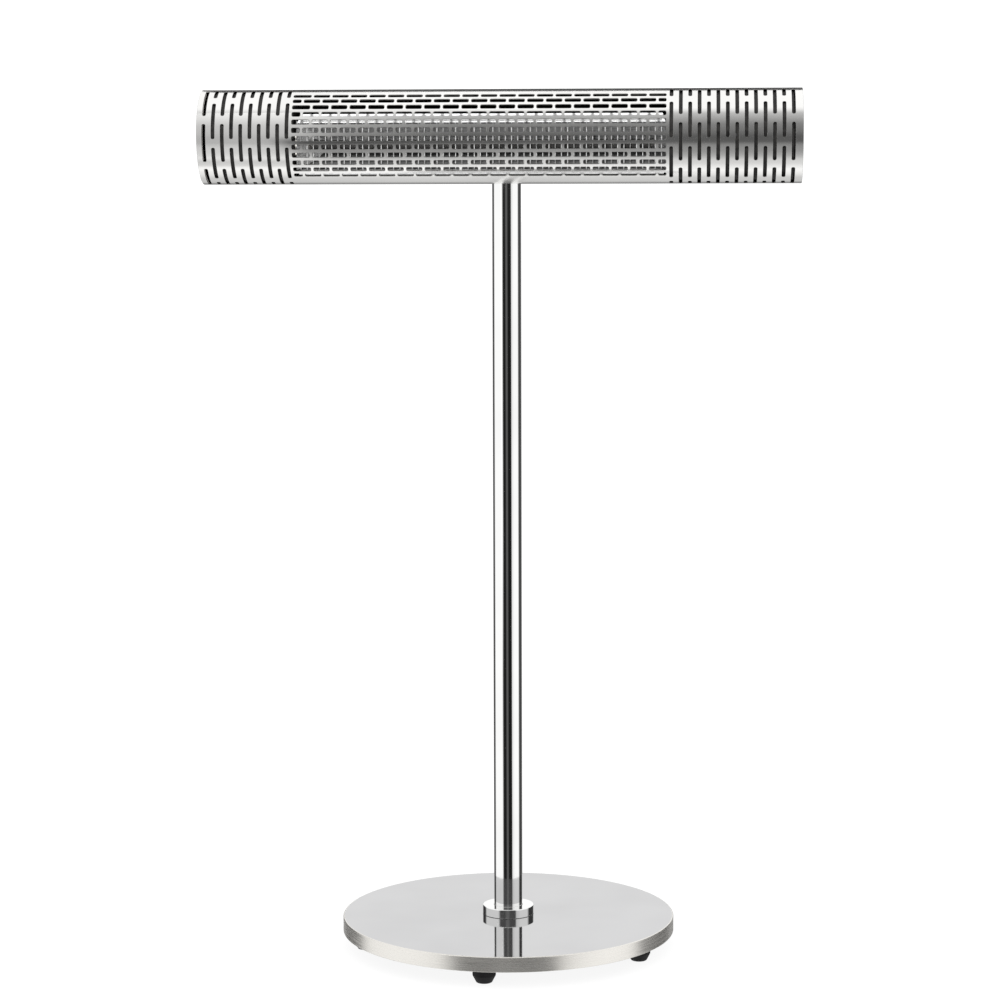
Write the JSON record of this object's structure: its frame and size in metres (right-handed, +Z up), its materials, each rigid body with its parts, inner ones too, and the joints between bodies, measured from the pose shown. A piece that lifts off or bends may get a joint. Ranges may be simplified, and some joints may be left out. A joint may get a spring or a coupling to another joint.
{
  "type": "free-standing infrared electric patio heater",
  "caption": "Free-standing infrared patio heater: slotted stainless heater tube that tilts and swivels on a telescopic mast with a round weighted base on rubber feet.",
  "frame": {"origin": "on the floor, on the mast's axis, which is the centre of the round base", "axes": "+Z up along the mast, -Y the way the heater faces, +X along the heater tube to its switch end"},
  "size_m": [0.781, 0.4554, 1.1678],
  "materials": {
    "polished_steel": "polished stainless steel",
    "satin_steel": "satin stainless steel",
    "black_rubber": "matt black rubber",
    "black_plastic": "fine-textured black plastic",
    "bush_plastic": "natural nylon",
    "painted_ballast": "black painted steel",
    "zinc_steel": "zinc plated steel",
    "bright_aluminium": "bright rolled aluminium",
    "blackened_steel": "matt black heat-resistant coating",
    "quartz": "clear quartz, faint amber tint",
    "carbon": "dark carbon fibre element",
    "ceramic": "unglazed white ceramic",
    "circuit_board": "green solder mask"
  },
  "bodies": {
    "stand": {"base_cover": "polished_steel", "ballast_plate": "painted_ballast", "foot_1": "black_rubber", "foot_2": "black_rubber", "foot_3": "black_rubber", "foot_4": "black_rubber", "foot_5": "black_rubber", "pole_flange": "polished_steel", "tube_foot_plug": "zinc_steel", "centre_bolt": "zinc_steel", "bolt_washer": "zinc_steel", "lower_tube": "polished_steel", "lower_guide_bush": "bush_plastic", "lower_ferrule": "zinc_steel"},
    "lower_lock_ring": {"lower_lock_ring": "polished_steel"},
    "middle_mast": {"middle_tube": "polished_steel", "middle_foot_bush": "bush_plastic", "middle_guide_bush": "bush_plastic", "upper_ferrule": "zinc_steel"},
    "upper_lock_ring": {"upper_lock_ring": "polished_steel"},
    "upper_mast": {"upper_tube": "polished_steel", "upper_foot_bush": "bush_plastic", "tube_head_plug": "zinc_steel"},
    "yoke": {"yoke": "satin_steel", "swivel_screw": "zinc_steel"},
    "head": {"head_bracket": "satin_steel", "backing_plate": "zinc_steel", "bracket_screw_1": "zinc_steel", "bracket_screw_2": "zinc_steel", "bracket_screw_3": "zinc_steel", "bracket_screw_4": "zinc_steel", "tilt_bolt": "zinc_steel", "tilt_washer": "zinc_steel", "slotted_shell": "polished_steel", "end_cap_left": "satin_steel", "end_cap_right": "satin_steel", "chassis_rail": "zinc_steel", "left_inner_housing": "blackened_steel", "right_inner_housing": "blackened_steel", "reflector": "bright_aluminium", "reflector_end_left": "bright_aluminium", "reflector_end_right": "bright_aluminium", "wire_guard": "satin_steel", "lamp_tube": "quartz", "lamp_filament": "carbon", "lamp_base_left": "ceramic", "lamp_base_right": "ceramic", "lamp_holder_left": "ceramic", "lamp_holder_right": "ceramic", "control_board": "circuit_board", "relay": "black_plastic", "terminal_block": "bush_plastic", "tip_over_switch": "black_plastic", "remote_receiver": "black_plastic", "switch_body": "black_plastic", "cable_gland": "black_plastic", "gland_cap": "black_plastic"},
    "tilt_knob": {"tilt_knob": "black_plastic"},
    "power_rocker": {"power_rocker": "black_plastic"}
  },
  "joints": [
    {"name": "lower_lock_turn", "type": "hinge", "parent": "stand", "child": "lower_lock_ring", "pos_m": [0, 0, 1.0595], "axis": [0, 0, 1], "range_deg": [0, 90]},
    {"name": "middle_stage_slide", "type": "slide", "parent": "stand", "child": "middle_mast", "axis": [0, 0, 1], "range_m": [0, 0.508]},
    {"name": "upper_lock_turn", "type": "hinge", "parent": "middle_mast", "child": "upper_lock_ring", "pos_m": [0, 0, 1.08325], "axis": [0, 0, 1], "range_deg": [0, 90]},
    {"name": "upper_stage_slide", "type": "slide", "parent": "middle_mast", "child": "upper_mast", "axis": [0, 0, 1], "range_m": [0, 0.508]},
    {"name": "head_swivel", "type": "hinge", "parent": "upper_mast", "child": "yoke", "pos_m": [0, 0, 1.1065], "axis": [0, 0, 1], "range_deg": [-90, 90]},
    {"name": "head_tilt", "type": "hinge", "parent": "yoke", "child": "head", "pos_m": [0, -0.03, 1.1065], "axis": [1, 0, 0], "range_deg": [-30, 35]},
    {"name": "tilt_knob_turn", "type": "hinge", "parent": "head", "child": "tilt_knob", "pos_m": [0.019, -0.03, 1.1065], "axis": [1, 0, 0], "range_deg": [0, 360]},
    {"name": "power_rocker_tip", "type": "hinge", "parent": "head", "child": "power_rocker", "pos_m": [0.3835, -0.112, 1.1065], "axis": [0, 0, 1], "range_deg": [0, 18]}
  ]
}
